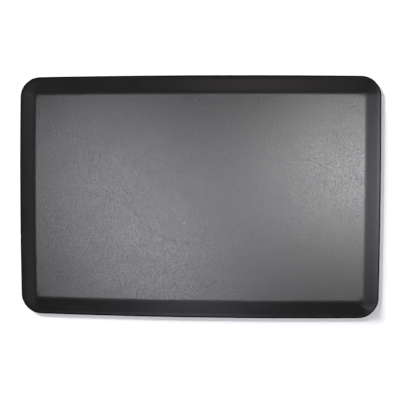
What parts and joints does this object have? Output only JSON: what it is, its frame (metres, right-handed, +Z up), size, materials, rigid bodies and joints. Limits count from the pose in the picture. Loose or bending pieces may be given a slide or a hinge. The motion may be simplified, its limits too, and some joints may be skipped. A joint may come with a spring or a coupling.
{
  "type": "anti fatigue mat",
  "caption": "Rectangular anti-fatigue floor mat: grained moulded skin with sloped edges and rounded corners over a foam core, with a non-slip studded base.",
  "frame": {"origin": "centre of the underside, on the floor", "axes": "+X along the long side, +Y towards the back long edge, +Z up out of the standing surface"},
  "size_m": [0.914, 0.61, 0.019],
  "materials": {
    "skin": "matte",
    "foam": "matte",
    "base": "matte",
    "grip": "satin"
  },
  "bodies": {
    "root": {"top_skin": "skin", "foam_core": "foam", "base_sheet": "base", "grip_studs": "grip"}
  },
  "joints": []
}
